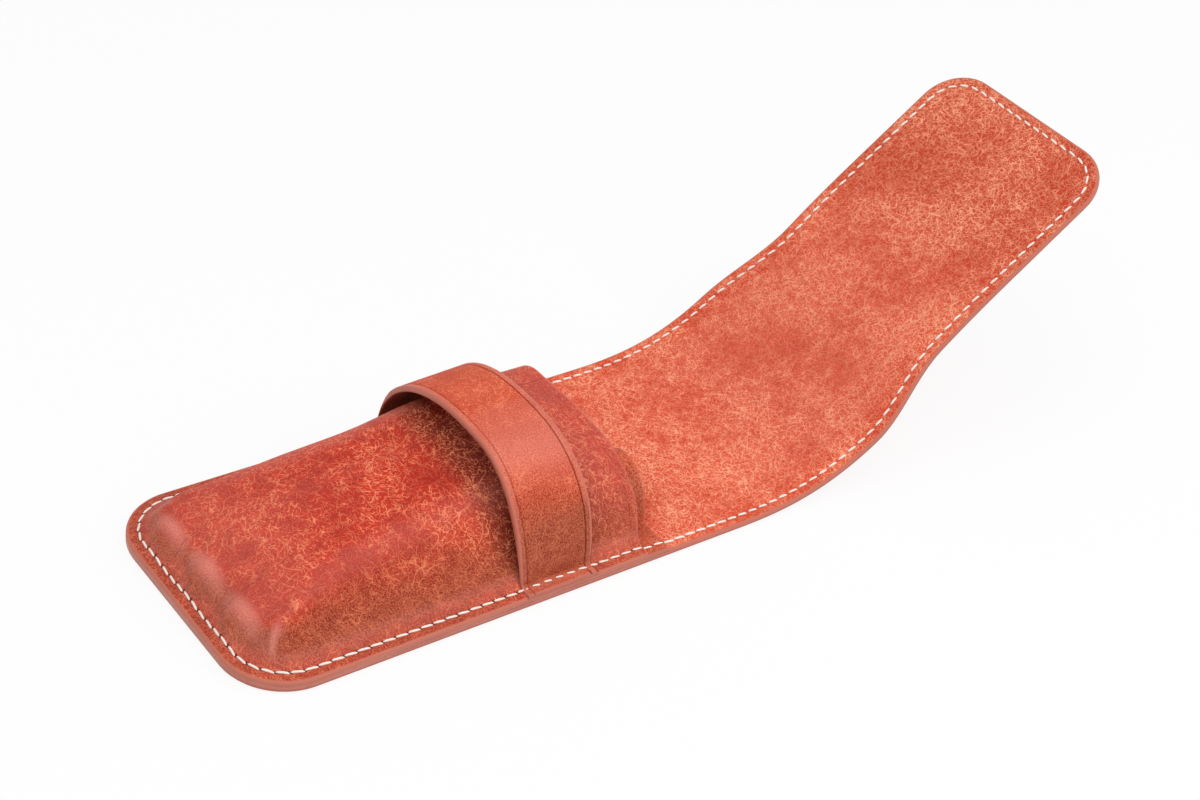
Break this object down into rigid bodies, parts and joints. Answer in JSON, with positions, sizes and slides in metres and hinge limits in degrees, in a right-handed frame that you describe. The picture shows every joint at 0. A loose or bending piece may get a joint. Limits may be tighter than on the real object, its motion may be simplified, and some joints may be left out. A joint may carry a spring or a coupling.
{
  "type": "flap pen case",
  "caption": "Moulded leather pen case: sewn front pocket with a pen divider, a strap across the front, and a lined flap that folds over the mouth.",
  "frame": {"origin": "middle of the back's flat outer face, half way from the bottom end to the mouth", "axes": "+X along the case from the bottom end to the mouth and on along the flap, +Y across the case, +Z out of the back through the front panel"},
  "size_m": [0.2794, 0.079, 0.0813],
  "materials": {
    "outer_leather": "waxed full grain, red-orange",
    "lining_leather": "smooth side with fine light fibres, orange-red",
    "front_leather": "waxed full grain, wet-moulded, with fine light fibres",
    "strap_leather": "waxed full grain with a crease along each edge",
    "divider_leather": "thin, wet-moulded"
  },
  "bodies": {
    "case_body": {"back_outer": "outer_leather", "back_lining": "lining_leather", "front_panel": "front_leather", "strap": "strap_leather", "pen_divider": "divider_leather"},
    "flap_spine": {"flap_spine_outer": "outer_leather", "flap_spine_lining": "lining_leather"},
    "flap_tongue": {"flap_tongue_outer": "outer_leather", "flap_tongue_lining": "lining_leather"}
  },
  "joints": [
    {"name": "lower_fold", "type": "hinge", "parent": "case_body", "child": "flap_spine", "pos_m": [0.10141, 0, 0.00262], "axis": [0, -1, 0], "range_deg": [-12, 73]},
    {"name": "upper_fold", "type": "hinge", "parent": "flap_spine", "child": "flap_tongue", "pos_m": [0.13402, 0, 0.01377], "axis": [0, -1, 0], "range_deg": [-18, 66]}
  ]
}
